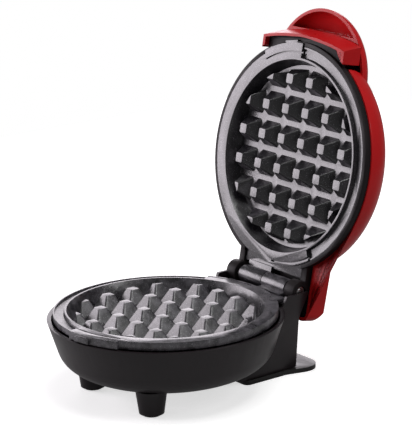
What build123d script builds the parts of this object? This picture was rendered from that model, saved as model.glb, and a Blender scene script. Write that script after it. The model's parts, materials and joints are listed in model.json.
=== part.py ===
from build123d import *
import os
from math import cos, radians, sin

# Mini waffle maker: round bowl base, hinged domed lid, two waffle plates that are the same casting.
# Modelled about the bowl axis: X to the right, -Y to the handle, +Z up. Millimetres.

# Hinge and opening
hinge_y = 69.2            # hinge axis behind the bowl axis
hinge_z = 46.3            # hinge axis height, which is also the parting plane
open_angle = 101.2        # how far the lid stands open
seat_gap = 0.6            # each plate face stops this far from the parting plane
running_gap = 0.05        # radial clearance of the pin in its bores
part_gap = 0.3            # clearance between neighbouring pieces

# Waffle plate casting
flange_r = 59.6
flange_t = 4.1
cavity_r = 52.4
floor_r = 49.7
cavity_depth = 8.7
plate_wall = 2.6
floor_fillet = 1.6
peg_pitch = 16.5
peg_base = 13.8
peg_top = 5.2
peg_count = 6
peg_sink = 1.4            # peg tops lie this far below the plate face
peg_circle_r = 47.4       # the pegs are trimmed to this circle
lip_w = 1.1
groove_depth = 2.2
rim_w = 0.8
rim_sink = 1.0
groove_arc = 150
sector_arc = 30
seam_w = 0.9
seam_depth = 1.3
tab_r = 61.5
lug_r = 62.8
lug_w = 10.0
lug_angle = 10.0
apron_half_w = 23.8
apron_end_y = 62.5
apron_sink = 2.2

# Hinge barrels, pin and clips
barrel_r = 4.9
barrel_len = 19.3
barrel_split = 0.2
pin_r = 2.0
web_t = 3.0
ear_r = 6.0
ear_in_x = 21.5
ear_out_x = 28.5
clip_r = 2.8
clip_t = 0.6
clip_pocket_r = 3.2
clip_pocket_depth = 1.4

# Plate bosses, heater and heat shield
boss_ring_r = 44.0
boss_count = 3
boss_r = 4.5
boss_h = 3.5
screw_r = 1.7
screw_head_r = 3.4
screw_head_t = 2.0
screw_bite = 4.4
heater_ring_r = 30.0
heater_tube_r = 3.1
heater_sink = 1.0
heater_arc = 300
elbow_r = 4.5
cold_leg = 2.0
cold_pin_r = 1.1
cold_pin_len = 3.4
shield_r = 49.5
shield_t = 0.5
shield_dish = 2.6
shield_dish_r = 36.0
shield_hole_r = 9.8        # leaves room for the thermostat

# Lid
cover_r = 62.8
cover_edge = 4.5          # lower edge of the cover above the plate face
dome_h = 25.3
dome_power = 2.8
cover_wall = 1.8
lobe_r = 37.0
lobe_y = -44.3
lobe_base = 12.8
lobe_h = 13.0
lobe_power = 2.5
brim_front = 66.0
brim_half_w = 33.5
brim_rake = 3.0
brim_top = 12.0
brim_bow_r = 140.0
pocket_wall_y = -68.6
tail_half_w = 31.3
tail_end_y = 85.5
tail_top = 15.4
tail_round = 5.0
housing_r = 62.2
housing_wall = 1.8
housing_foot = 0.5
shelf_t = 2.0
roof_t = 2.0
vent_r = 37.5
ear_block_in_x = 24.3
cover_screw_x = 21.0
cover_screw_y = 77.0
small_screw_r = 1.3
small_head_r = 2.4
small_head_t = 1.6
lens_r = 3.0
lens_y = -24.0
lamp_r = 2.4
lamp_h = 4.2

# Base
bowl_rim_r = 62.9
bowl_rim_z = 41.0
bowl_bottom_z = 7.5
bowl_wall = 2.2
column_top_half_w = 30.6
column_foot_half_w = 23.4
column_wall = 1.6
column_front_y = 30.0
column_rear_foot_y = 69.7
column_waist_y = 67.9
column_waist_z = 32.0
column_rear_top_y = 72.9
cheek_front_y = 58.0
rear_wall_top_z = 38.0
foot_x = 26.5
foot_y = -29.7
foot_top_r = 8.4
foot_low_r = 6.6
pad_r = 5.2
pad_t = 2.4
pad_sink = 1.2
tower_seat = 4.0
foot_screw_x = 14.0
foot_screw_y = 64.0
plate_t = 2.5             # the rear foot plate
plate_front_y = 34.5
plate_rear_y = 85.0
plate_half_w = 24.5
plate_rear_half_w = 27.6
plate_corner_r = 9.0
gland_z = 15.0
gland_bore_r = 3.2
gland_r = 5.0
gland_flange_r = 7.0
gland_flange_t = 1.2

face_z = hinge_z + seat_gap          # face of the lid's plate when closed
floor_z = -seat_gap - cavity_depth   # cavity floor, from the parting plane
pan_z = floor_z - plate_wall         # underside of the pan, from the parting plane
boss_z = pan_z - boss_h              # ends of the screw bosses, from the parting plane
flange_z = -seat_gap - flange_t      # underside of the flange, from the parting plane


def rod_x(radius, x_low, x_high, y=0.0, z=0.0):
    """A round bar along X between two stations."""
    bar = Rot(0, 90, 0) * Cylinder(radius, x_high - x_low)
    return Pos((x_low + x_high) / 2, y, z) * bar


def disc(radius, z_low, z_high, x=0.0, y=0.0):
    """A round disc on a vertical axis between two heights."""
    return Pos(x, y, (z_low + z_high) / 2) * Cylinder(radius, z_high - z_low)


def block(x_low, x_high, y_low, y_high, z_low, z_high):
    """A rectangular block between three pairs of stations."""
    size = Box(x_high - x_low, y_high - y_low, z_high - z_low)
    return Pos((x_low + x_high) / 2, (y_low + y_high) / 2, (z_low + z_high) / 2) * size


def turned(points, arc=360.0, start=0.0):
    """A profile of radius and height pairs, turned about Z from the start angle."""
    face = Plane.XZ * make_face(Polyline(*points, close=True))
    return Rot(0, 0, start) * revolve(face, Axis.Z, arc)


def front_angle(degrees_from_front):
    """Angle about Z of a direction measured from the handle side towards +X."""
    return degrees_from_front - 90.0


def around(count, radius, start=-90.0):
    """Points spaced evenly on a circle."""
    step = 360.0 / count
    angles = [radians(start + step * i) for i in range(count)]
    return [(radius * cos(a), radius * sin(a)) for a in angles]


def lid_opened(piece):
    """Turns a piece of the closed lid about the hinge axis to where the open lid stands."""
    return Pos(0, hinge_y, hinge_z) * Rot(-open_angle, 0, 0) * Pos(0, -hinge_y, -hinge_z) * piece


def waffle_peg():
    """One peg of the waffle grid, a steep tapered block with rounded corners."""
    height = cavity_depth - peg_sink
    foot = Plane.XY.offset(floor_z - 0.2) * RectangleRounded(peg_base, peg_base, 1.8)
    tip = Plane.XY.offset(floor_z + height) * RectangleRounded(peg_top, peg_top, 0.9)
    return loft([foot, tip])


def waffle_grid():
    """The pegs on a square pitch, trimmed to the round floor."""
    half = (peg_count - 1) / 2
    peg = waffle_peg()
    rows = [(i - half) * peg_pitch for i in range(peg_count)]
    reach = peg_circle_r + peg_top / 2
    pegs = [Pos(x, y, 0) * peg for x in rows for y in rows if (x * x + y * y) ** 0.5 < reach]
    well = disc(peg_circle_r, floor_z - 0.2, 0)
    return [peg & well for peg in pegs]


def plate_casting():
    """The cast waffle plate, cup side up, with its face just under the parting plane."""
    face = -seat_gap
    flange = disc(flange_r, flange_z, face)
    pan = turned([(0, pan_z), (floor_r + plate_wall, pan_z), (cavity_r + plate_wall, face), (0, face)])
    tab = turned(
        [(cavity_r, flange_z), (tab_r, flange_z), (tab_r, face), (cavity_r, face)],
        sector_arc, front_angle(0),
    )
    lug = Rot(0, 0, lug_angle) * block(
        -lug_w / 2, lug_w / 2, -lug_r, -cavity_r - lip_w, flange_z + 0.4, face - 1.2
    )
    apron_top = face - apron_sink
    outline = Polyline(
        (-apron_half_w, 40), (-apron_half_w, apron_end_y), (apron_half_w, apron_end_y),
        (apron_half_w, 40), close=True,
    )
    apron = extrude(Plane.XY.offset(flange_z) * make_face(outline), apron_top - flange_z)
    web = block(barrel_split, barrel_len, apron_end_y - 1, hinge_y, flange_z, flange_z + web_t)
    barrel = rod_x(barrel_r, barrel_split, barrel_len, hinge_y)
    body = flange + pan + tab + lug + apron + web + barrel
    for x, y in around(boss_count, boss_ring_r):
        body += disc(boss_r, boss_z, pan_z + 0.2, x, y)

    # cooking cavity and pegs
    well = Plane.XZ * make_face(
        Polyline((0, floor_z), (floor_r, floor_z), (cavity_r, face), (cavity_r, 1), (0, 1), close=True)
    )
    body -= revolve(well, Axis.Z, 360)
    body += waffle_grid()

    # overflow groove with a thin lip inside and a low rim outside
    inner = cavity_r + lip_w
    groove = [
        (inner, 0), (inner, face), (inner + 0.5, face - groove_depth),
        (flange_r - rim_w, face - groove_depth), (flange_r - rim_w, face - rim_sink),
        (flange_r + 0.5, face - rim_sink), (flange_r + 0.5, 0),
    ]
    body -= turned(groove, groove_arc, front_angle(-groove_arc))

    # narrow seams of the front and rear sectors
    front_seam_r = flange_r - 2.6
    seam = [
        (front_seam_r - seam_w, face - seam_depth), (front_seam_r, face - seam_depth),
        (front_seam_r, 0), (front_seam_r - seam_w, 0),
    ]
    body -= turned(seam, sector_arc, front_angle(0))
    rear_seam_r = flange_r - 1.2
    seam = [
        (rear_seam_r - seam_w, face - seam_depth), (rear_seam_r, face - seam_depth),
        (rear_seam_r, 0), (rear_seam_r - seam_w, 0),
    ]
    body -= turned(seam, sector_arc, front_angle(180))

    # pin bore, heater seat and blind screw holes on the back
    body -= rod_x(pin_r + running_gap, -1, barrel_len + 1, hinge_y)
    seat = Pos(heater_ring_r, 0, pan_z - heater_tube_r + heater_sink) * Rot(90, 0, 0)
    seat_arc = heater_arc + 20
    ring = revolve(seat * Circle(heater_tube_r + running_gap), Axis.Z, seat_arc)
    body -= Rot(0, 0, 90 + (360 - seat_arc) / 2) * ring
    for x, y in around(boss_count, boss_ring_r):
        body -= disc(screw_r, boss_z - 1, boss_z + screw_bite + 0.8, x, y)
    return body


def plate_heater():
    """Tubular heating ring under the casting, with bent ends and cold pins."""
    ring_z = pan_z - heater_tube_r + heater_sink
    section = Pos(heater_ring_r, 0, ring_z) * Rot(90, 0, 0) * Circle(heater_tube_r)
    ring = Rot(0, 0, 90 + (360 - heater_arc) / 2) * revolve(section, Axis.Z, heater_arc)
    body = ring
    half_gap = (360 - heater_arc) / 2
    for side in (-1, 1):
        turn = Rot(0, 0, 90 + side * half_gap)
        bend_at = Pos(heater_ring_r, 0, ring_z)
        bend_face = bend_at * Rot(90, 0, 0) * Circle(heater_tube_r)
        bend_axis = Axis((heater_ring_r, 0, ring_z - elbow_r), (side, 0, 0))
        elbow = revolve(bend_face, bend_axis, 90)
        leg_y = -side * elbow_r
        leg_z = ring_z - elbow_r
        leg = disc(heater_tube_r, leg_z - cold_leg, leg_z, heater_ring_r, leg_y)
        pin = disc(cold_pin_r, leg_z - cold_leg - cold_pin_len, leg_z - cold_leg, heater_ring_r, leg_y)
        body += turn * (elbow + leg + pin)
    return body


def heat_shield():
    """Pressed sheet disc that turns the heat back to the plate, held by the plate screws."""
    top = boss_z - part_gap
    low = top - shield_t
    dish = [
        (0, low - shield_dish), (shield_dish_r - 2, low - shield_dish), (shield_dish_r, low),
        (shield_r, low), (shield_r, top + 2.0), (shield_r - shield_t, top + 2.0),
        (shield_r - shield_t, top), (shield_dish_r - 0.3, top),
        (shield_dish_r - 2.3, top - shield_dish), (0, top - shield_dish),
    ]
    sheet = turned(dish) - disc(shield_hole_r, low - shield_dish - 1, top)
    for x, y in around(boss_count, boss_ring_r):
        sheet -= disc(screw_r + 0.3, low - 1, top + 1, x, y)
    half_gap = (360 - heater_arc) / 2
    for side in (-1, 1):
        reach = -side * (elbow_r + heater_tube_r + 0.8)
        half_slot = heater_tube_r + 0.8
        slot = block(
            heater_ring_r - half_slot, heater_ring_r + half_slot, min(reach, side), max(reach, side), -60, 60
        )
        sheet -= Rot(0, 0, 90 + side * half_gap) * slot
    return sheet


def plate_screw(under_head, tip):
    """Pan head screw on a vertical axis, head down, with a cross recess."""
    shank = disc(screw_r - running_gap, under_head, tip)
    head = disc(screw_head_r, under_head - screw_head_t, under_head)
    head = fillet(head.edges().group_by(Axis.Z)[0], 0.8)
    recess = Pos(0, 0, under_head - screw_head_t) * (Box(3.4, 0.8, 1.6) + Box(0.8, 3.4, 1.6))
    return shank + head - recess


def turned_dome(radius, height, power, base):
    """A solid dome of a power curve, standing on a short straight wall below its base."""
    steps = 8
    points = []
    for i in range(1, steps):
        turn = radians(90.0 * i / steps)
        points.append((radius * cos(turn) ** (2 / power), base + height * sin(turn) ** (2 / power)))
    curve = Spline((radius, base), *points, (0, base + height), tangents=[(0, 1), (-1, 0)])
    axis_line = Line((0, base + height), (0, base))
    foot_line = Line((0, base), (radius, base))
    return revolve(Plane.XZ * make_face([curve, axis_line, foot_line]), Axis.Z, 360)


def brim_form(inset, low):
    """The raked front skirt of the cover, bowed in plan."""
    half = brim_half_w - inset
    front = brim_front - inset
    corner_y = brim_front - half * half / (2 * brim_bow_r) - inset

    def plan(push):
        edge = ThreePointArc((-half, -corner_y - push), (0, -front - push), (half, -corner_y - push))
        rest = Polyline((half, -corner_y - push), (half, -40), (-half, -40), (-half, -corner_y - push))
        return make_face([edge, *rest.edges()])

    foot = Plane.XY.offset(low) * plan(0)
    top = Plane.XY.offset(brim_top) * plan(brim_rake)
    return loft([foot, top])


def tail_form(inset, low):
    """The box behind the dome that hangs over the hinge."""
    top = tail_top - inset
    end = tail_end_y - inset
    side = Polyline((20, low), (end, low), (end, top - 5), (end - 5.5, top), (20, top + 1.5), close=True)
    half = tail_half_w - inset
    body = extrude(Plane.YZ * make_face(side), half, both=True)
    corners = body.edges().filter_by(Axis.Z).group_by(Axis.Y)[-1]
    return fillet(corners, tail_round - inset)


def cover_form(inset, low):
    """Outer or inner form of the lid cover, heights from the plate face."""
    form = turned_dome(cover_r - inset, dome_h - inset, dome_power, cover_edge)
    if low < cover_edge:
        form += disc(cover_r - inset, low, cover_edge)
    return form


def lid_cover():
    """Moulded lid cover with lobe, finger pocket, brim and tail."""
    outer = cover_form(0, cover_edge)
    lobe = Pos(0, lobe_y, 0) * turned_dome(lobe_r, lobe_h, lobe_power, lobe_base)
    brim = brim_form(0, 0)
    tail = tail_form(0, cover_edge)
    shell = outer + lobe + brim + tail

    inner = cover_form(cover_wall, cover_edge - 1)
    lobe_in = Pos(0, lobe_y, 0) * turned_dome(
        lobe_r - cover_wall, lobe_h - cover_wall, lobe_power, lobe_base
    )
    lobe_in += disc(lobe_r - cover_wall, lobe_base - 20, lobe_base, 0, lobe_y)
    front_room = block(-80, 80, pocket_wall_y + cover_wall, 40, -30, 40)
    pocket_room = block(-80, 80, -120, pocket_wall_y, -30, 40)
    hollow = inner + (lobe_in & front_room & disc(cover_r + 2, -30, 40))
    skirt_in = brim_form(cover_wall, -1) & block(-80, 80, -120, 0, -2, brim_top - 2)
    hollow += skirt_in
    hollow += tail_form(cover_wall, cover_edge - 1)
    pocket = lobe_in & pocket_room
    shell = shell - hollow - pocket
    for x in (-cover_screw_x, cover_screw_x):
        boss = disc(3.2, flange_t + shelf_t + 2 * part_gap, tail_top - 1, x, cover_screw_y)
        shell += boss - disc(small_screw_r - running_gap, 0, tail_top - cover_wall - 1, x, cover_screw_y)
    shell -= disc(lens_r + running_gap, 10, 40, 0, lens_y)
    return Pos(0, 0, face_z) * shell


def lid_housing():
    """Black inner frame of the lid: rim, plate shelf, roof ring, tail liner and hinge ears."""
    rim_in = flange_r + 0.4
    neck_out = cover_r - cover_wall - 0.2
    shelf_low = flange_t + part_gap
    shelf_top = shelf_low + shelf_t
    wall_in = cavity_r + plate_wall + 1.0
    roof_low = -boss_z - seat_gap + 2 * part_gap + shield_t
    roof_top = roof_low + roof_t
    roof_out = 54.6
    frame = turned([
        (rim_in, housing_foot), (housing_r, housing_foot), (housing_r, cover_edge - 0.2),
        (neck_out, cover_edge - 0.2), (neck_out, shelf_top), (wall_in + housing_wall, shelf_top),
        (roof_out, roof_top), (vent_r, roof_top), (vent_r, roof_low),
        (roof_out - housing_wall, roof_low), (wall_in, shelf_low), (rim_in, shelf_low),
    ])
    brow = brim_form(cover_wall + part_gap, 0) & block(-80, 80, -120, 0, cover_edge - 1.6, cover_edge - 0.2)
    frame += brow - disc(housing_r - 0.5, 0, 20)
    liner = tail_form(cover_wall + part_gap, shelf_low) & block(-60, 60, 52, 90, shelf_low + 0.8, shelf_top)
    frame += liner - disc(neck_out - 0.5, 0, 20)
    for side in (-1, 1):
        low_x = min(side * ear_block_in_x, side * ear_out_x)
        high_x = max(side * ear_block_in_x, side * ear_out_x)
        cheek = block(low_x, high_x, 50, hinge_y + 2, housing_foot + 0.8, shelf_top)
        frame += cheek - disc(rim_in, -5, shelf_low)
    # room for the front tab and lug of the plate
    tab_room = [
        (rim_in - 1, -1), (tab_r + part_gap, -1), (tab_r + part_gap, shelf_low), (rim_in - 1, shelf_low),
    ]
    frame -= turned(tab_room, sector_arc + 2, front_angle(-sector_arc - 1))
    frame -= Rot(0, 0, -lug_angle) * block(
        -lug_w / 2 - part_gap, lug_w / 2 + part_gap, -lug_r - part_gap, -cavity_r, -1, shelf_low
    )
    # room for the plate's apron and the web of its barrel
    room = apron_half_w + part_gap
    frame -= block(-room, room, 50, apron_end_y + part_gap, -1, shelf_low)
    frame -= block(-barrel_len - part_gap, 0, 50, hinge_y, -1, shelf_low)
    for x, y in around(boss_count, boss_ring_r):
        frame -= disc(screw_r + 0.3, 0, 40, x, y)
    for x in (-cover_screw_x, cover_screw_x):
        frame -= disc(small_screw_r + 0.3, 0, 40, x, cover_screw_y)
    frame = Pos(0, 0, face_z) * frame
    for side in (-1, 1):
        low_x = min(side * ear_in_x, side * ear_out_x)
        high_x = max(side * ear_in_x, side * ear_out_x)
        frame += rod_x(ear_r, low_x, high_x, hinge_y, hinge_z)
    for side in (-1, 1):
        pocket_x = side * (ear_out_x - clip_pocket_depth / 2)
        frame -= rod_x(
            clip_pocket_r, pocket_x - clip_pocket_depth / 2, pocket_x + clip_pocket_depth / 2,
            hinge_y, hinge_z,
        )
    frame -= rod_x(pin_r + running_gap, -40, 40, hinge_y, hinge_z)
    # the barrels run between the ears
    frame -= rod_x(barrel_r + part_gap, -barrel_len - 1, barrel_len + 1, hinge_y, hinge_z)
    return frame


def hinge_pin():
    """Steel hinge pin through both barrels and both ears."""
    end = ear_out_x - clip_pocket_depth + clip_t + 0.4
    pin = rod_x(pin_r, -end, end, hinge_y, hinge_z)
    return chamfer(pin.edges().filter_by(GeomType.CIRCLE), 0.3)


def pin_clips():
    """Push-on clips that keep the pin in the ears."""
    clips = []
    seat = ear_out_x - clip_pocket_depth + 0.1
    for side in (-1, 1):
        low_x = min(side * seat, side * (seat + clip_t))
        ring = rod_x(clip_r, low_x, low_x + clip_t, hinge_y, hinge_z)
        ring -= rod_x(pin_r, low_x - 1, low_x + clip_t + 1, hinge_y, hinge_z)
        clips.append(ring)
    return clips


def bowl_form(inset):
    """The bowl, straight at the side and rounded below, inset by the wall for its inside."""
    side_low = Vector(57.6, 24.5)
    side_top = Vector(bowl_rim_r, bowl_rim_z)
    along = (side_top - side_low).normalized()
    inward = Vector(-along.Y, along.X)
    low = side_low + inward * inset
    top = side_top + inward * inset + along * (6 if inset else 0)
    floor = bowl_bottom_z + inset
    belly = Spline(
        (22, floor), (39.5 - 0.35 * inset, 11.6 + 0.93 * inset), (low.X, low.Y),
        tangents=[(1, 0), (along.X, along.Y)],
    )
    edges = [
        Line((0, floor), (22, floor)), belly, Line((low.X, low.Y), (top.X, top.Y)),
        Line((top.X, top.Y), (0, top.Y)), Line((0, top.Y), (0, floor)),
    ]
    return revolve(Plane.XZ * make_face(edges), Axis.Z, 360)


def column_form(inset, low):
    """The hinge column behind the bowl: raked rear, tapered sides."""
    side = Polyline(
        (column_front_y + inset, low), (column_rear_foot_y - inset, low),
        (column_waist_y - inset, column_waist_z), (column_rear_top_y - inset, hinge_z + inset),
        (cheek_front_y + inset, hinge_z + inset), (cheek_front_y - 3 + inset, bowl_rim_z - 1),
        (column_front_y + inset, bowl_bottom_z + 4), close=True,
    )
    depth = extrude(Plane.YZ * make_face(side), 60, both=True)
    foot = column_foot_half_w - inset
    slope = (column_top_half_w - column_foot_half_w) / (hinge_z - plate_t)
    crown = column_top_half_w - inset + slope * 4
    foot_w = foot - slope * 4
    front = Polyline(
        (-foot_w, plate_t - 4), (foot_w, plate_t - 4), (crown, hinge_z + 4), (-crown, hinge_z + 4),
        close=True,
    )
    width = extrude(Plane.XZ * make_face(front), -200)
    return depth & width


def base_shell():
    """Bowl, hinge column and front feet in one moulding, open at the top."""
    shell = bowl_form(0) + column_form(0, plate_t + part_gap)
    for side in (-1, 1):
        foot = Solid.make_cone(foot_low_r, foot_top_r, 14.0 - pad_sink)
        shell += Pos(side * foot_x, foot_y, pad_sink) * foot
    inside = bowl_form(bowl_wall) & disc(100, bowl_bottom_z + bowl_wall, bowl_rim_z + 20)
    inside += column_form(column_wall, plate_t - 2)
    shell -= inside
    # the rear wall stops below the barrels, between the cheeks
    gate_half = column_top_half_w - column_wall - 0.4
    shell -= block(-gate_half, gate_half, cheek_front_y - 4, 90, rear_wall_top_z, 60)
    # screw towers for the plate, bored from below
    tower_top = hinge_z + boss_z - 2 * part_gap - shield_t
    seat_z = tower_top - tower_seat
    outside = bowl_form(0)
    for x, y in around(boss_count, boss_ring_r):
        shell += disc(5.6, 9, tower_top, x, y) & outside
        shell -= disc(screw_head_r + 0.5, 0, seat_z, x, y)
        shell -= disc(screw_r + 0.3, 0, 60, x, y)
    # posts for the foot plate screws
    for x in (-foot_screw_x, foot_screw_x):
        post = disc(4.2, plate_t + 2.0, 16, x, foot_screw_y)
        post += block(x - 1, x + 1, foot_screw_y, column_rear_foot_y - 1.2, plate_t + 4.5, 16)
        shell += post - disc(screw_r - running_gap, 0, 13, x, foot_screw_y)
    for side in (-1, 1):
        shell -= disc(pad_r + running_gap, 0, pad_t, side * foot_x, foot_y)
    rear_mid = (column_rear_foot_y + column_waist_y) / 2
    shell -= Pos(0, rear_mid, gland_z) * Rot(90, 0, 0) * Cylinder(gland_r + running_gap, 12)
    return shell


def foot_plate():
    """Flat plate that closes the column and carries the back of the appliance."""
    outline = Polyline(
        (-plate_half_w, plate_front_y), (plate_half_w, plate_front_y), (plate_half_w, 62),
        (plate_rear_half_w, 74), (plate_rear_half_w, plate_rear_y), (-plate_rear_half_w, plate_rear_y),
        (-plate_rear_half_w, 74), (-plate_half_w, 62), close=True,
    )
    plate = extrude(make_face(outline), plate_t)
    upright = plate.edges().filter_by(Axis.Z)
    plate = fillet(upright.group_by(Axis.Y)[-1], plate_corner_r)
    front = plate.edges().filter_by(Axis.Z).group_by(Axis.Y)[0]
    plate = fillet(front, plate_corner_r / 3)
    rim = column_form(column_wall + part_gap, plate_t - 2) & block(-60, 60, 0, 100, plate_t - 0.2, plate_t + 1.7)
    core = column_form(column_wall + part_gap + 1.4, plate_t - 2) & block(-60, 60, 0, 100, 0, 20)
    plate += rim - core
    for x in (-foot_screw_x, foot_screw_x):
        seat = disc(5.6, plate_t - 0.4, plate_t + 1.7, x, foot_screw_y)
        plate += seat & block(-60, 60, 0, column_rear_foot_y - column_wall - part_gap, 0, 20)
        plate -= disc(screw_r + 0.3, -1, 12, x, foot_screw_y)
        plate -= disc(screw_head_r + 0.3, -1, screw_head_t + 0.2, x, foot_screw_y)
    return plate


def small_screw(under_head, length):
    """Small pan head screw on a vertical axis, head down."""
    shank = disc(small_screw_r - running_gap, under_head, under_head + length)
    head = disc(small_head_r, under_head - small_head_t, under_head)
    recess = Pos(0, 0, under_head - small_head_t) * (Box(2.6, 0.6, 1.2) + Box(0.6, 2.6, 1.2))
    return shank + head - recess


def upper_plate_screws():
    """Screws that hold the lid's plate and heat shield to the inner frame."""
    under_head = boss_z - 2 * part_gap - shield_t - roof_t
    screw = plate_screw(under_head, boss_z + screw_bite)
    return [Pos(x, y, hinge_z) * Rot(0, 180, 0) * screw for x, y in around(boss_count, boss_ring_r)]


def lower_plate_screws():
    """Screws that hold the base plate and heat shield down to the towers of the bowl."""
    under_head = boss_z - 2 * part_gap - shield_t - tower_seat
    screw = plate_screw(under_head, boss_z + screw_bite)
    return [Pos(x, y, hinge_z) * screw for x, y in around(boss_count, boss_ring_r)]


def cover_screws():
    """Two small screws through the tail liner into the cover."""
    under_head = face_z + flange_t + part_gap + 0.8
    screw = small_screw(under_head, 7.0)
    return [Pos(x, cover_screw_y, 0) * screw for x in (-cover_screw_x, cover_screw_x)]


def roof_height(y):
    """Height of the top of the closed cover on its middle line."""
    return face_z + cover_edge + dome_h * (1 - (abs(y) / cover_r) ** dome_power) ** (1 / dome_power)


def indicator_lens():
    """Domed signal lens pushed into the cover, with a collar inside."""
    roof = roof_height(lens_y)
    under = roof - cover_wall
    lens = disc(lens_r, under - 1.6, roof + 0.5, 0, lens_y)
    lens = fillet(lens.edges().group_by(Axis.Z)[-1], 0.8)
    lens += disc(lens_r + 1.4, under - 1.6, under - 0.6, 0, lens_y)
    return lens - disc(lamp_r + 0.3, roof - 10, under - 0.2, 0, lens_y)


def indicator_lamp():
    """Glow lamp behind the lens, with its two leads."""
    roof = roof_height(lens_y)
    top = roof - cover_wall - 0.2 - part_gap
    bulb = disc(lamp_r, top - lamp_h, top, 0, lens_y)
    bulb = fillet(bulb.edges().group_by(Axis.Z)[-1], 1.2)
    for x in (-1.0, 1.0):
        bulb += disc(0.35, top - lamp_h - 1.2, top - lamp_h, x, lens_y)
    return bulb


def thermostat():
    """Bimetal disc thermostat under the middle of the base plate, with two blade terminals."""
    top = pan_z - part_gap
    cap = disc(8.0, top - 1.6, top)
    body = disc(6.6, top - 6.0, top - 1.6)
    blades = block(-8.5, -3.0, -3.1, 3.1, top - 7.0, top - 6.2)
    blades += block(3.0, 8.5, -3.1, 3.1, top - 7.0, top - 6.2)
    posts = disc(1.4, top - 6.4, top - 5.9, -4.2) + disc(1.4, top - 6.4, top - 5.9, 4.2)
    return Pos(0, 0, hinge_z) * (cap + body + blades + posts)


def thermal_fuse():
    """Cut-out fuse in its sleeve, lying against the back of the base plate."""
    top = pan_z - part_gap
    body = rod_x(2.0, -6.0, 6.0, 15.0, top - 2.0)
    leads = rod_x(0.5, -11.0, 11.0, 15.0, top - 2.0)
    return Pos(0, 0, hinge_z) * (body + leads)


def fuse_clip():
    """Bent strap that presses the fuse to the plate, with its screw tab."""
    top = pan_z - part_gap
    outer = rod_x(2.9, -3.0, 3.0, 15.0, top - 2.0) & block(-3, 3, 11, 19, top - 6, top - 1.6)
    strap = outer + block(-3, 3, 17.4, 22.6, top - 0.8, top) + block(-3, 3, 17.1, 17.9, top - 2.2, top)
    strap -= rod_x(2.1, -4.0, 4.0, 15.0, top - 2.0)
    return Pos(0, 0, hinge_z) * (strap - disc(1.4, top - 9, top + 1, 0, 20.6))


def terminal_block():
    """Two-way screw terminal block standing on the foot plate, with wire funnels."""
    low = plate_t + 0.2
    body = block(-10, 10, 44, 54, low, low + 10)
    body = chamfer(body.edges().group_by(Axis.Z)[-1], 1.0)
    for x in (-5.0, 5.0):
        body -= Pos(x, 49, low + 4.5) * Rot(90, 0, 0) * Cylinder(1.7, 20)
        body -= disc(1.9, low + 4.5, low + 12, x, 49)
    return body


def terminal_screws():
    """Slotted screws of the terminal block."""
    low = plate_t + 0.2
    screws = []
    for x in (-5.0, 5.0):
        screw = disc(1.7, low + 6.3, low + 9.2, x, 49)
        screws.append(screw - block(x - 3, x + 3, 48.7, 49.3, low + 8.4, low + 10))
    return screws


def cord_gland():
    """Grommet in the rear wall of the column where the mains cord would leave."""
    wall_low = plate_t + part_gap
    share = (gland_z - wall_low) / (column_waist_z - wall_low)
    wall_y = column_rear_foot_y + (column_waist_y - column_rear_foot_y) * share
    length = column_wall + 2 * gland_flange_t + 1.2
    body = Cylinder(gland_r, length)
    for side in (-1, 1):
        body += Pos(0, 0, side * (length - gland_flange_t) / 2) * Cylinder(gland_flange_r, gland_flange_t)
    body -= Cylinder(gland_bore_r, length + 2)
    return Pos(0, wall_y - column_wall / 2, gland_z) * Rot(90, 0, 0) * body


def cord_clamp():
    """Saddle that grips the cord inside the column, on the foot plate."""
    low = plate_t + 0.2
    bar = block(-9, 9, 57.0, 61.0, low, low + 5)
    bar = fillet(bar.edges().filter_by(Axis.Y).group_by(Axis.Z)[-1], 1.5)
    bar -= Pos(0, 59, low) * Rot(90, 0, 0) * Cylinder(2.6, 10)
    for x in (-6.5, 6.5):
        bar -= disc(small_screw_r + 0.3, low - 1, low + 8, x, 59)
    return bar


def cord_clamp_screws():
    """Two small screws of the cord clamp, heads up."""
    low = plate_t + 0.2
    screw = Rot(180, 0, 0) * small_screw(0, 4.6)
    return [Pos(x, 59, low + 5) * screw for x in (-6.5, 6.5)]


def foot_plate_screws():
    """Two screws that hold the foot plate up to the posts of the column."""
    screw = plate_screw(screw_head_t + 0.2, 11.0)
    return [Pos(x, foot_screw_y, 0) * screw for x in (-foot_screw_x, foot_screw_x)]


def foot_pad(side):
    """Soft round pad under one front foot."""
    pad = disc(pad_r, 0, pad_t - 0.1)
    pad = fillet(pad.edges().group_by(Axis.Z)[0], 0.8)
    return Pos(side * foot_x, foot_y, 0) * pad


def save(name, solids, middle_y):
    """Writes one node, moved so that the origin lies under the middle of the footprint."""
    moved = [Pos(0, -middle_y, 0) * solid for solid in solids]
    export_step(moved[0] if len(moved) == 1 else Compound(children=moved), f"parts/{name}.step")


os.makedirs("parts", exist_ok=True)

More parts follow.
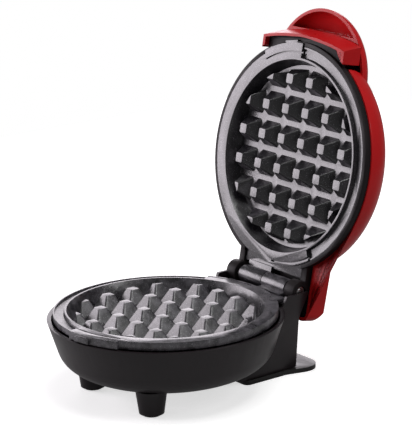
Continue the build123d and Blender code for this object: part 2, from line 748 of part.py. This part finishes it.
lower_plate = Pos(0, 0, hinge_z) * plate_casting()
upper_plate = lid_opened(Pos(0, 0, hinge_z) * Rot(0, 180, 0) * plate_casting())
nodes = {
    "lid_cover": lid_opened(lid_cover()),
    "lid_housing": lid_opened(lid_housing()),
    "upper_plate": upper_plate,
    "upper_heater": lid_opened(Pos(0, 0, hinge_z) * Rot(0, 180, 0) * plate_heater()),
    "upper_heat_shield": lid_opened(Pos(0, 0, hinge_z) * Rot(0, 180, 0) * heat_shield()),
    "base_shell": base_shell(),
    "foot_plate": foot_plate(),
    "lower_plate": lower_plate,
    "lower_heater": Pos(0, 0, hinge_z) * plate_heater(),
    "lower_heat_shield": Pos(0, 0, hinge_z) * heat_shield(),
    "upper_plate_screws": [lid_opened(screw) for screw in upper_plate_screws()],
    "lower_plate_screws": lower_plate_screws(),
    "cover_screws": [lid_opened(screw) for screw in cover_screws()],
    "indicator_lens": lid_opened(indicator_lens()),
    "indicator_lamp": lid_opened(indicator_lamp()),
    "thermostat": thermostat(),
    "thermal_fuse": thermal_fuse(),
    "fuse_clip": fuse_clip(),
    "terminal_block": terminal_block(),
    "terminal_screws": terminal_screws(),
    "cord_gland": cord_gland(),
    "cord_clamp": cord_clamp(),
    "cord_clamp_screws": cord_clamp_screws(),
    "foot_plate_screws": foot_plate_screws(),
    "hinge_pin": hinge_pin(),
    "pin_clips": pin_clips(),
    "left_foot_pad": foot_pad(-1),
    "right_foot_pad": foot_pad(1),
}
front_y = nodes["base_shell"].bounding_box().min.Y
rear_y = nodes["lid_cover"].bounding_box().max.Y
for name, shape in nodes.items():
    solids = shape if isinstance(shape, list) else [shape]
    save(name, solids, (front_y + rear_y) / 2)
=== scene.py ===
import json
import math

import bpy
from mathutils import Matrix, Vector


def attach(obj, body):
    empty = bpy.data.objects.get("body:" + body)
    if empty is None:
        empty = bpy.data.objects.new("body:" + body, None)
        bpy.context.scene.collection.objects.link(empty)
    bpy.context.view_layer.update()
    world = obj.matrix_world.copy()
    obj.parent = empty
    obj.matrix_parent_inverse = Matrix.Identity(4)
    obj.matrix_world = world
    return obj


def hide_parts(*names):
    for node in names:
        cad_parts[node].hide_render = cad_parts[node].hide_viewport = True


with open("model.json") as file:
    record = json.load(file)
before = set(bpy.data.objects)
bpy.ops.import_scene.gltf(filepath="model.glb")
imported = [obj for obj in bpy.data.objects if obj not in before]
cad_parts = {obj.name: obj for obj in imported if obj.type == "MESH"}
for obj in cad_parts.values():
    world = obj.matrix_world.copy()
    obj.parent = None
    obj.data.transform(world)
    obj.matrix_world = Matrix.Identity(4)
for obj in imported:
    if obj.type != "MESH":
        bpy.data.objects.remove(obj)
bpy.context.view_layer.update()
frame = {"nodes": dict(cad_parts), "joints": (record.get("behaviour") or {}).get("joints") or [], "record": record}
print("waffle maker: frame loaded")

scene = bpy.context.scene
scene.view_settings.view_transform = "Standard"


# the photograph's viewpoint, in degrees, metres and pixels
view = {
    "azimuth": 52.66,
    "elevation": 15.32,
    "roll": -0.93,
    "distance": 1.09995,
    "target": (0.04418, -0.03442, 0.10719),
    "focalPixels": 2185.87,
    "imageWidth": 412,
    "sensor": 36.0,   # millimetres
    "nearest": 0.05,
    "farthest": 20,
}


def addCamera():
    turn = Matrix.Rotation(math.radians(view["azimuth"]), 4, "Z")
    tilt = Matrix.Rotation(math.radians(90 - view["elevation"]), 4, "X")
    roll = Matrix.Rotation(math.radians(view["roll"]), 4, "Z")
    stand = turn @ tilt @ Matrix.Translation((0, 0, view["distance"]))
    data = bpy.data.cameras.new("productCamera")
    data.sensor_fit = "HORIZONTAL"
    data.sensor_width = view["sensor"]
    data.lens = view["focalPixels"] * view["sensor"] / view["imageWidth"]
    data.clip_start = view["nearest"]
    data.clip_end = view["farthest"]
    camera = bpy.data.objects.new("productCamera", data)
    camera.matrix_world = Matrix.Translation(view["target"]) @ stand @ roll
    scene.collection.objects.link(camera)
    scene.camera = camera


addCamera()
print("waffle maker: camera placed")


# helpers that build node trees
def newMaterial(name):
    material = bpy.data.materials.new(name)
    material.use_nodes = True
    nodes = material.node_tree.nodes
    nodes.clear()
    output = nodes.new("ShaderNodeOutputMaterial")
    shader = nodes.new("ShaderNodeBsdfPrincipled")
    shader.location = (-300, 0)
    material.node_tree.links.new(shader.outputs[0], output.inputs[0])
    return material, shader


def addNode(tree, kind, place, **settings):
    node = tree.nodes.new(kind)
    node.location = place
    for key, value in settings.items():
        setattr(node, key, value)
    return node


def addNoise(tree, coords, place, scale=None, detail=None):
    noise = addNode(tree, "ShaderNodeTexNoise", place)
    if scale is not None:
        noise.inputs["Scale"].default_value = scale
    if detail is not None:
        noise.inputs["Detail"].default_value = detail
    tree.links.new(coords.outputs["Object"], noise.inputs["Vector"])
    return noise


rangeEnds = {"fromMin": "From Min", "fromMax": "From Max", "toMin": "To Min", "toMax": "To Max"}


def addRange(tree, source, place, **ends):
    span = addNode(tree, "ShaderNodeMapRange", place)
    for end, value in ends.items():
        span.inputs[rangeEnds[end]].default_value = value
    tree.links.new(source, span.inputs["Value"])
    return span


def newGroup(name, inputs, outputs):
    group = bpy.data.node_groups.new(name, "ShaderNodeTree")
    for label, kind, value in inputs:
        socket = group.interface.new_socket(label, in_out="INPUT", socket_type=kind)
        if value is not None:
            socket.default_value = value
    for label, kind in outputs:
        group.interface.new_socket(label, in_out="OUTPUT", socket_type=kind)
    entry = addNode(group, "NodeGroupInput", (-900, 0))
    leave = addNode(group, "NodeGroupOutput", (600, 0))
    return group, entry, leave


# moulded plastic: faint flow marks, fine grain and light dust in one group
skinLook = {
    "grainDetail": 3,
    "flowScale": 28,
    "flowDetail": 5,
    "flowSwirl": 0.6,
    "flowRange": (0.3, 0.7),
    "roughSpread": 0.06,
    "dustFrom": 0.5,   # how far a face looks up before dust lies on it
    "dust": (0.5, 0.48, 0.45, 1),
}


def mouldedGroup():
    group, entry, leave = newGroup(
        "mouldedSkin",
        [
            ("Colour", "NodeSocketColor", (0.5, 0.5, 0.5, 1)),
            ("Grain Scale", "NodeSocketFloat", 900.0),
            ("Variation", "NodeSocketFloat", 0.08),
            ("Roughness", "NodeSocketFloat", 0.35),
            ("Dust", "NodeSocketFloat", 0.05),
        ],
        [
            ("Colour", "NodeSocketColor"),
            ("Roughness", "NodeSocketFloat"),
            ("Height", "NodeSocketFloat"),
        ],
    )
    link = group.links.new
    coords = addNode(group, "ShaderNodeTexCoord", (-1100, 200))
    grain = addNoise(group, coords, (-700, 200), detail=skinLook["grainDetail"])
    link(entry.outputs["Grain Scale"], grain.inputs["Scale"])
    flow = addNoise(group, coords, (-700, -100), skinLook["flowScale"], skinLook["flowDetail"])
    flow.inputs["Distortion"].default_value = skinLook["flowSwirl"]
    # colour gets a little lighter and darker along the flow marks
    low, high = skinLook["flowRange"]
    tone = addRange(group, flow.outputs[0], (-450, -100), fromMin=low, fromMax=high, toMin=-1, toMax=1)
    share = addNode(group, "ShaderNodeMath", (-250, -100), operation="MULTIPLY_ADD")
    share.inputs[2].default_value = 1.0
    link(tone.outputs[0], share.inputs[0])
    link(entry.outputs["Variation"], share.inputs[1])
    shade = addNode(group, "ShaderNodeHueSaturation", (-50, 50))
    link(entry.outputs["Colour"], shade.inputs["Color"])
    link(share.outputs[0], shade.inputs["Value"])
    # dust lies on faces that look up
    shape = addNode(group, "ShaderNodeNewGeometry", (-1100, -400))
    split = addNode(group, "ShaderNodeSeparateXYZ", (-900, -400))
    link(shape.outputs["Normal"], split.inputs[0])
    upward = addRange(group, split.outputs["Z"], (-700, -400), fromMin=skinLook["dustFrom"], fromMax=1)
    speck = addNode(group, "ShaderNodeMath", (-450, -400), operation="MULTIPLY")
    link(upward.outputs[0], speck.inputs[0])
    link(flow.outputs[0], speck.inputs[1])
    dustShare = addNode(group, "ShaderNodeMath", (-250, -400), operation="MULTIPLY")
    link(speck.outputs[0], dustShare.inputs[0])
    link(entry.outputs["Dust"], dustShare.inputs[1])
    dusty = addNode(group, "ShaderNodeMix", (150, 50), data_type="RGBA")
    dusty.inputs["B"].default_value = skinLook["dust"]
    link(dustShare.outputs[0], dusty.inputs["Factor"])
    link(shade.outputs[0], dusty.inputs["A"])
    link(dusty.outputs["Result"], leave.inputs["Colour"])
    rough = addNode(group, "ShaderNodeMath", (150, -200), operation="MULTIPLY_ADD")
    rough.inputs[1].default_value = skinLook["roughSpread"]
    link(tone.outputs[0], rough.inputs[0])
    link(entry.outputs["Roughness"], rough.inputs[2])
    link(rough.outputs[0], leave.inputs["Roughness"])
    link(grain.outputs[0], leave.inputs["Height"])
    return group


# painted highlight along the convex edges of a coating, broken into patches by a noise
edgeHighlightLook = {"ridge": (0.53, 0.6), "patch": (0.38, 0.62), "patchDetail": 4}


def edgeHighlightGroup():
    group, entry, leave = newGroup(
        "paintedEdgeHighlight",
        [("Amount", "NodeSocketFloat", 0.5), ("Patch Scale", "NodeSocketFloat", 160.0)],
        [("Mask", "NodeSocketFloat")],
    )
    link = group.links.new
    shape = addNode(group, "ShaderNodeNewGeometry", (-700, 100))
    low, high = edgeHighlightLook["ridge"]
    # painted highlight: convex edges (high pointiness) get lighter, standing in for light catching the rounded
    # ridges
    ridge = addRange(group, shape.outputs["Pointiness"], (-450, 100), fromMin=low, fromMax=high)
    coords = addNode(group, "ShaderNodeTexCoord", (-900, -150))
    patch = addNoise(group, coords, (-700, -150), detail=edgeHighlightLook["patchDetail"])
    link(entry.outputs["Patch Scale"], patch.inputs["Scale"])
    low, high = edgeHighlightLook["patch"]
    broken = addRange(group, patch.outputs[0], (-450, -150), fromMin=low, fromMax=high)
    both = addNode(group, "ShaderNodeMath", (-200, 0), operation="MULTIPLY")
    link(ridge.outputs[0], both.inputs[0])
    link(broken.outputs[0], both.inputs[1])
    scaled = addNode(group, "ShaderNodeMath", (0, 0), operation="MULTIPLY")
    link(both.outputs[0], scaled.inputs[0])
    link(entry.outputs["Amount"], scaled.inputs[1])
    link(scaled.outputs[0], leave.inputs["Mask"])
    return group


moulded = mouldedGroup()
paintedEdgeHighlight = edgeHighlightGroup()

grainDepth = 0.0005
plastics = {
    "red_cover": {"colour": (0.50, 0.0095, 0.0115, 1), "rough": 0.32, "grain": 1400.0, "bump": 0.02,
                  "variation": 0.05, "dust": 0.0, "coat": 0.0, "coatRough": 0.15, "specular": 0.18},
    "black_housing": {"colour": (0.012, 0.0095, 0.0105, 1), "rough": 0.46, "grain": 1600.0, "bump": 0.05,
                      "variation": 0.12, "dust": 0.02, "coat": 0.0, "coatRough": 0.2, "specular": 0.14},
    "black_shell": {"colour": (0.0135, 0.0095, 0.0115, 1), "rough": 0.33, "grain": 1500.0, "bump": 0.03,
                    "variation": 0.12, "dust": 0.01, "coat": 0.0, "coatRough": 0.15, "specular": 0.42},
    "black_foot_plate": {"colour": (0.012, 0.011, 0.0115, 1), "rough": 0.36, "grain": 1500.0, "bump": 0.04,
                         "variation": 0.12, "dust": 0.02, "coat": 0.0, "coatRough": 0.2, "specular": 0.4},
    "pad_rubber": {"colour": (0.02, 0.019, 0.019, 1), "rough": 0.75, "grain": 1100.0, "bump": 0.12,
                   "variation": 0.15, "dust": 0.05, "coat": 0.0, "coatRough": 0.5},
    "gland_rubber": {"colour": (0.016, 0.016, 0.016, 1), "rough": 0.7, "grain": 1100.0, "bump": 0.12,
                     "variation": 0.15, "dust": 0.05, "coat": 0.0, "coatRough": 0.5},
    "clamp_plastic": {"colour": (0.02, 0.02, 0.02, 1), "rough": 0.5, "grain": 1000.0, "bump": 0.06,
                      "variation": 0.15, "dust": 0.02, "coat": 0.0, "coatRough": 0.3},
    "terminal_plastic": {"colour": (0.62, 0.58, 0.47, 1), "rough": 0.45, "grain": 900.0, "bump": 0.05,
                         "variation": 0.06, "dust": 0.02, "coat": 0.0, "coatRough": 0.3},
    "thermostat_body": {"colour": (0.07, 0.035, 0.02, 1), "rough": 0.4, "grain": 900.0, "bump": 0.05,
                        "variation": 0.15, "dust": 0.02, "coat": 0.1, "coatRough": 0.2},
}


def plasticMaterial(name, look):
    material, shader = newMaterial(name + "Finish")
    tree = material.node_tree
    skin = addNode(tree, "ShaderNodeGroup", (-900, 0), node_tree=moulded)
    skin.inputs["Colour"].default_value = look["colour"]
    skin.inputs["Grain Scale"].default_value = look["grain"]
    skin.inputs["Variation"].default_value = look["variation"]
    skin.inputs["Roughness"].default_value = look["rough"]
    skin.inputs["Dust"].default_value = look["dust"]
    bump = addNode(tree, "ShaderNodeBump", (-600, -300))
    bump.inputs["Strength"].default_value = look["bump"]
    bump.inputs["Distance"].default_value = grainDepth
    link = tree.links.new
    link(skin.outputs["Colour"], shader.inputs["Base Color"])
    link(skin.outputs["Roughness"], shader.inputs["Roughness"])
    link(skin.outputs["Height"], bump.inputs["Height"])
    link(bump.outputs[0], shader.inputs["Normal"])
    shader.inputs["Specular IOR Level"].default_value = look.get("specular", 0.5)
    shader.inputs["Coat Weight"].default_value = look["coat"]
    shader.inputs["Coat Roughness"].default_value = look["coatRough"]
    return material


# dark non-stick coating: fine bright flecks, slight orange peel, painted highlight on the convex edges
coating = {
    "dark": (0.009, 0.008, 0.0105, 1),
    "fleck": (0.34, 0.32, 0.36, 1),
    "fleckScale": 1900.0,
    "fleckDetail": 2,
    "fleckRange": (0.6, 0.72),
    "fleckAndHighlightShare": 0.65,
    "rough": 0.28,
    "roughDown": 0.06,
    "roughUp": 0.08,
    "cloudScale": 60,
    "cloudDetail": 4,
    "peelScale": 620.0,
    "peelDetail": 3,
    "peelStrength": 0.18,
    "peelDepth": 0.0004,
    "edgeHighlight": 0.35,
    "edgeHighlightScale": 220,
    "specular": 1.0,
}


def coatingMaterial(name):
    material, shader = newMaterial(name + "Finish")
    tree = material.node_tree
    link = tree.links.new
    coords = addNode(tree, "ShaderNodeTexCoord", (-1500, 0))
    fleck = addNoise(tree, coords, (-1300, 200), coating["fleckScale"], coating["fleckDetail"])
    low, high = coating["fleckRange"]
    sparse = addRange(tree, fleck.outputs[0], (-1100, 200), fromMin=low, fromMax=high)
    cloud = addNoise(tree, coords, (-1300, -100), coating["cloudScale"], coating["cloudDetail"])
    # painted edge highlight: lightens the convex ridges as if light caught them
    edgeHighlight = addNode(tree, "ShaderNodeGroup", (-1100, -100), node_tree=paintedEdgeHighlight)
    edgeHighlight.inputs["Amount"].default_value = coating["edgeHighlight"]
    edgeHighlight.inputs["Patch Scale"].default_value = coating["edgeHighlightScale"]
    # the mask holds the real flecks plus the painted edge highlight
    mask = addNode(tree, "ShaderNodeMath", (-900, 100), operation="ADD", use_clamp=True)
    link(sparse.outputs[0], mask.inputs[0])
    link(edgeHighlight.outputs["Mask"], mask.inputs[1])
    share = addNode(tree, "ShaderNodeMath", (-750, 100), operation="MULTIPLY")
    share.inputs[1].default_value = coating["fleckAndHighlightShare"]
    link(mask.outputs[0], share.inputs[0])
    # the fleck colour serves both the real flecks and the painted edge highlight
    colour = addNode(tree, "ShaderNodeMix", (-600, 200), data_type="RGBA")
    colour.inputs["A"].default_value = coating["dark"]
    colour.inputs["B"].default_value = coating["fleck"]
    link(share.outputs[0], colour.inputs["Factor"])
    link(colour.outputs["Result"], shader.inputs["Base Color"])
    smoothest = coating["rough"] - coating["roughDown"]
    roughest = coating["rough"] + coating["roughUp"]
    rough = addRange(tree, cloud.outputs[0], (-900, -250), toMin=smoothest, toMax=roughest)
    link(rough.outputs[0], shader.inputs["Roughness"])
    peel = addNoise(tree, coords, (-1300, -400), coating["peelScale"], coating["peelDetail"])
    bump = addNode(tree, "ShaderNodeBump", (-600, -350))
    bump.inputs["Strength"].default_value = coating["peelStrength"]
    bump.inputs["Distance"].default_value = coating["peelDepth"]
    link(peel.outputs[0], bump.inputs["Height"])
    link(bump.outputs[0], shader.inputs["Normal"])
    shader.inputs["Specular IOR Level"].default_value = coating["specular"]
    return material


# drawn and pressed metal: fine marks stretched along each piece
drawnMarks = {
    "scale": 5,
    "detail": 6,
    "darker": 0.8,
    "roughDown": 0.1,
    "roughUp": 0.12,
    "strength": 0.08,
    "depth": 0.0003,
}
metals = {
    "heater_steel": {"colour": (0.30, 0.27, 0.24, 1), "rough": 0.45, "stretch": (60, 60, 400)},
    "shield_steel": {"colour": (0.55, 0.55, 0.54, 1), "rough": 0.32, "stretch": (60, 600, 60)},
    "screw_steel": {"colour": (0.52, 0.52, 0.53, 1), "rough": 0.3, "stretch": (300, 300, 90)},
    "clip_steel": {"colour": (0.42, 0.42, 0.43, 1), "rough": 0.35, "stretch": (300, 300, 90)},
    "pin_steel": {"colour": (0.56, 0.56, 0.57, 1), "rough": 0.25, "stretch": (60, 900, 900)},
    "terminal_brass": {"colour": (0.62, 0.42, 0.15, 1), "rough": 0.3, "stretch": (200, 200, 200)},
    "fuse_case": {"colour": (0.62, 0.61, 0.58, 1), "rough": 0.35, "stretch": (90, 600, 600)},
}


def metalMaterial(name, look):
    material, shader = newMaterial(name + "Finish")
    tree = material.node_tree
    link = tree.links.new
    coords = addNode(tree, "ShaderNodeTexCoord", (-1300, 0))
    mapping = addNode(tree, "ShaderNodeMapping", (-1100, 0))
    mapping.inputs["Scale"].default_value = look["stretch"]
    link(coords.outputs["Object"], mapping.inputs["Vector"])
    draw = addNode(tree, "ShaderNodeTexNoise", (-900, 0))
    draw.inputs["Scale"].default_value = drawnMarks["scale"]
    draw.inputs["Detail"].default_value = drawnMarks["detail"]
    link(mapping.outputs[0], draw.inputs["Vector"])
    colour = addNode(tree, "ShaderNodeMix", (-600, 200), data_type="RGBA")
    darker = tuple(drawnMarks["darker"] * channel for channel in look["colour"][:3])
    colour.inputs["A"].default_value = darker + (1,)
    colour.inputs["B"].default_value = look["colour"]
    link(draw.outputs[0], colour.inputs["Factor"])
    link(colour.outputs["Result"], shader.inputs["Base Color"])
    smoothest = look["rough"] - drawnMarks["roughDown"]
    roughest = look["rough"] + drawnMarks["roughUp"]
    rough = addRange(tree, draw.outputs[0], (-600, -100), toMin=smoothest, toMax=roughest)
    link(rough.outputs[0], shader.inputs["Roughness"])
    bump = addNode(tree, "ShaderNodeBump", (-600, -350))
    bump.inputs["Strength"].default_value = drawnMarks["strength"]
    bump.inputs["Distance"].default_value = drawnMarks["depth"]
    link(draw.outputs[0], bump.inputs["Height"])
    link(bump.outputs[0], shader.inputs["Normal"])
    shader.inputs["Metallic"].default_value = 1.0
    return material


# clear pieces: two close colours mixed by a fine noise
lensLook = {
    "dark": (0.42, 0.03, 0.012, 1),
    "light": (0.6, 0.06, 0.02, 1),
    "noiseScale": 700,
    "shader": {
        "Roughness": 0.12,
        "Coat Weight": 0.5,
        "Subsurface Weight": 0.3,
        "Subsurface Scale": 0.002,
    },
}
lampLook = {
    "dark": (0.9, 0.72, 0.6, 1),
    "light": (0.95, 0.8, 0.7, 1),
    "noiseScale": 300,
    "shader": {"Roughness": 0.08, "Transmission Weight": 0.8},
}


def clearMaterial(name, look):
    material, shader = newMaterial(name + "Finish")
    tree = material.node_tree
    coords = addNode(tree, "ShaderNodeTexCoord", (-1000, 0))
    noise = addNoise(tree, coords, (-800, 0), look["noiseScale"])
    colour = addNode(tree, "ShaderNodeMix", (-550, 150), data_type="RGBA")
    colour.inputs["A"].default_value = look["dark"]
    colour.inputs["B"].default_value = look["light"]
    tree.links.new(noise.outputs[0], colour.inputs["Factor"])
    tree.links.new(colour.outputs["Result"], shader.inputs["Base Color"])
    for label, value in look["shader"].items():
        shader.inputs[label].default_value = value
    return material


finishes = {name: plasticMaterial(name, look) for name, look in plastics.items()}
finishes.update({name: metalMaterial(name, look) for name, look in metals.items()})
finishes["nonstick_plate"] = coatingMaterial("nonstick_plate")
finishes["lens_plastic"] = clearMaterial("lens_plastic", lensLook)
finishes["lamp_glass"] = clearMaterial("lamp_glass", lampLook)
print("waffle maker: finishes made")


# every CAD node takes the finish of its material slot
slotOf = {entry["node"]: entry["material_slot"] for entry in frame["record"]["subparts"]}


def dress(piece, finish):
    piece.data.materials.clear()
    piece.data.materials.append(finish)


for nodeName, node in frame["nodes"].items():
    dress(node, finishes[slotOf[nodeName]])


# rounded mouldings: a merged copy of a node with its sharp edges broken, in metres and degrees
meshRule = {"merge": 0.000005, "flatUnder": 0.6, "sharpOver": 38, "smoothUnder": 32}
rounding = {
    "upper_plate": {"piece": "upperWafflePlate", "width": 0.0007, "segments": 3, "body": "lid"},
    "lower_plate": {"piece": "lowerWafflePlate", "width": 0.0007, "segments": 3, "body": "base"},
    "lid_housing": {"piece": "lidInnerFrame", "width": 0.0005, "segments": 2, "body": "lid"},
    "base_shell": {"piece": "bowlAndColumn", "width": 0.0006, "segments": 3, "body": "base"},
    "foot_plate": {"piece": "rearFootPlate", "width": 0.0006, "segments": 3, "body": "base"},
    "lid_cover": {"piece": "lidCover", "width": 0.0006, "segments": 3, "body": "lid",
                  "merge": 0.00008},
}


# the lid as it lies when closed, to pick its edges by place
lidHinge = frame["joints"][0]
hinge = Vector(lidHinge["pos_m"])
closing = Matrix.Rotation(math.radians(lidHinge["range_deg"][1]), 3, "X")
millimetres = 1000


def closedPoint(point):
    return (closing @ (point - hinge) + hinge) * millimetres


# broad soft edges, each picked on the closed lid in millimetres from the hinge frame
softRims = {
    "lid_cover": {
        "low": (-40, -112, 55.0),
        "high": (40, -84, 61.5),
        "bendOver": 40,
        "width": 0.0018,
        "segments": 4,
    },
}


def softenRim(piece, look):
    bpy.ops.mesh.select_all(action="DESELECT")
    bpy.ops.object.mode_set(mode="OBJECT")
    mesh = piece.data
    facesOf = {}
    for face in mesh.polygons:
        for key in face.edge_keys:
            facesOf.setdefault(key, []).append(face)
    picked = 0
    for edge in mesh.edges:
        around = facesOf.get(edge.key, [])
        if len(around) != 2:   # only edges between two faces can be rounded
            continue
        ends = [closedPoint(mesh.vertices[i].co) for i in edge.vertices]
        inside = all(look["low"][k] < end[k] < look["high"][k] for end in ends for k in range(3))
        bend = around[0].normal.angle(around[1].normal, 0)
        out = (around[1].center - around[0].center).dot(around[0].normal) < 0
        if inside and out and bend > math.radians(look["bendOver"]):
            edge.select = True
            picked += 1
    bpy.ops.object.mode_set(mode="EDIT")
    bpy.ops.mesh.select_mode(type="EDGE")
    bpy.ops.mesh.bevel(
        offset=look["width"], segments=look["segments"], profile=0.5, clamp_overlap=True
    )
    print("waffle maker: rim softened,", picked, "edges")


def applyModifiers(piece):
    bpy.context.view_layer.objects.active = piece
    for modifier in list(piece.modifiers):
        bpy.ops.object.modifier_apply(modifier=modifier.name)


def roundedCopy(nodeName, look):
    bpy.ops.object.select_all(action="DESELECT")
    source = frame["nodes"][nodeName]
    piece = bpy.data.objects.new(look["piece"], source.data.copy())
    scene.collection.objects.link(piece)
    piece.select_set(True)
    bpy.context.view_layer.objects.active = piece
    bpy.ops.object.mode_set(mode="EDIT")
    bpy.ops.mesh.select_all(action="SELECT")
    merge = look.get("merge", meshRule["merge"])
    bpy.ops.mesh.remove_doubles(threshold=merge)
    bpy.ops.mesh.dissolve_degenerate(threshold=merge)
    bpy.ops.mesh.dissolve_limited(angle_limit=math.radians(meshRule["flatUnder"]))
    if nodeName in softRims:
        softenRim(piece, softRims[nodeName])
    bpy.ops.object.mode_set(mode="OBJECT")
    bevel = piece.modifiers.new("softEdges", "BEVEL")
    bevel.width = look["width"]
    bevel.segments = look["segments"]
    bevel.limit_method = "ANGLE"
    bevel.angle_limit = math.radians(meshRule["sharpOver"])
    bevel.use_clamp_overlap = True
    bevel.miter_outer = "MITER_ARC"
    applyModifiers(piece)
    bpy.ops.object.shade_smooth_by_angle(angle=math.radians(meshRule["smoothUnder"]))
    dress(piece, finishes[slotOf[nodeName]])
    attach(piece, look["body"])
    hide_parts(nodeName)
    triangles = sum(len(face.vertices) - 2 for face in piece.data.polygons)
    print("waffle maker:", look["piece"], triangles, "triangles")


for nodeName, look in rounding.items():
    roundedCopy(nodeName, look)


# floor, background and soft lamps, in metres and watts
studio = {
    "floorSize": 1.1,
    "floorRough": 0.9,
    "floorSeen": (0.86, 0.86, 0.86, 1),
    "floorBounced": (0.34, 0.34, 0.34, 1),
    "floorGlow": 0.62,
    "worldStrength": 0.16,
    "whiteInGloss": 0.18,
    "aim": (0, 0, 0.08),
    "panels": {
        "leftPanel": {
            "at": (-1.25, -1.0, 0.3), "size": (1.3, 1.4), "power": 27.0, "tint": (1.0, 0.93, 1.0),
        },
        "topPanel": {"at": (0.35, 0.1, 1.5), "size": (0.9, 0.9), "power": 11.0},
        "rightPanel": {"at": (1.25, 0.6, 0.95), "size": (0.6, 0.8), "power": 5.0},
        "backPanel": {
            "at": (-1.05, 0.8, 0.36), "size": (0.8, 0.6), "power": 4.5, "tint": (1.0, 0.94, 1.0),
        },
    },
}


def addStudio():
    bpy.ops.object.select_all(action="DESELECT")
    bpy.ops.mesh.primitive_plane_add(size=studio["floorSize"], location=(0, 0, 0))
    floor = bpy.context.active_object
    floor.name = "studioFloor"
    material, shader = newMaterial("studioFloorFinish")
    tree = material.node_tree
    link = tree.links.new
    shader.inputs["Roughness"].default_value = studio["floorRough"]
    # full white to the camera, darker in what it bounces back to the object
    path = addNode(tree, "ShaderNodeLightPath", (-900, 300))
    tint = addNode(tree, "ShaderNodeMix", (-600, 0), data_type="RGBA")
    tint.inputs["A"].default_value = studio["floorBounced"]
    tint.inputs["B"].default_value = studio["floorSeen"]
    link(path.outputs["Is Camera Ray"], tint.inputs["Factor"])
    link(tint.outputs["Result"], shader.inputs["Base Color"])
    glow = addNode(tree, "ShaderNodeEmission", (-300, 300))
    glow.inputs["Color"].default_value = (1, 1, 1, 1)
    glow.inputs["Strength"].default_value = studio["floorGlow"]
    seen = addNode(tree, "ShaderNodeMath", (-700, 300), operation="MAXIMUM")
    link(path.outputs["Is Camera Ray"], seen.inputs[0])
    link(path.outputs["Is Transmission Ray"], seen.inputs[1])
    gloss = addNode(tree, "ShaderNodeMath", (-700, 500), operation="MULTIPLY")
    gloss.inputs[1].default_value = studio["whiteInGloss"]
    link(path.outputs["Is Glossy Ray"], gloss.inputs[0])
    either = addNode(tree, "ShaderNodeMath", (-500, 400), operation="MAXIMUM")
    link(seen.outputs[0], either.inputs[0])
    link(gloss.outputs[0], either.inputs[1])
    added = addNode(tree, "ShaderNodeAddShader", (-100, 150))
    pick = addNode(tree, "ShaderNodeMixShader", (100, 0))
    link(shader.outputs[0], added.inputs[0])
    link(glow.outputs[0], added.inputs[1])
    link(either.outputs[0], pick.inputs[0])
    link(shader.outputs[0], pick.inputs[1])
    link(added.outputs[0], pick.inputs[2])
    output = next(node for node in tree.nodes if node.type == "OUTPUT_MATERIAL")
    link(pick.outputs[0], output.inputs[0])
    dress(floor, material)

    world = bpy.data.worlds.new("studioWorld")
    scene.world = world
    world.use_nodes = True
    tree = world.node_tree
    link = tree.links.new
    back = next(node for node in tree.nodes if node.type == "BACKGROUND")
    back.inputs["Color"].default_value = (1, 1, 1, 1)
    path = addNode(tree, "ShaderNodeLightPath", (-900, 0))
    seen = addNode(tree, "ShaderNodeMath", (-700, 0), operation="MAXIMUM")
    link(path.outputs["Is Camera Ray"], seen.inputs[0])
    link(path.outputs["Is Transmission Ray"], seen.inputs[1])
    gloss = addNode(tree, "ShaderNodeMath", (-700, 200), operation="MULTIPLY_ADD")
    gloss.inputs[1].default_value = studio["whiteInGloss"] - studio["worldStrength"]
    gloss.inputs[2].default_value = studio["worldStrength"]
    link(path.outputs["Is Glossy Ray"], gloss.inputs[0])
    strength = addNode(tree, "ShaderNodeMath", (-450, 0), operation="MAXIMUM")
    link(seen.outputs[0], strength.inputs[0])
    link(gloss.outputs[0], strength.inputs[1])
    link(strength.outputs[0], back.inputs["Strength"])

    for name, look in studio["panels"].items():
        data = bpy.data.lights.new(name, "AREA")
        data.shape = "RECTANGLE"
        data.size, data.size_y = look["size"]
        data.energy = look["power"]
        data.color = look.get("tint", (1, 1, 1))
        lamp = bpy.data.objects.new(name, data)
        lamp.location = look["at"]
        aim = Vector(studio["aim"]) - lamp.location
        lamp.rotation_euler = aim.to_track_quat("-Z", "Y").to_euler()
        scene.collection.objects.link(lamp)


addStudio()
print("waffle maker: studio lit")
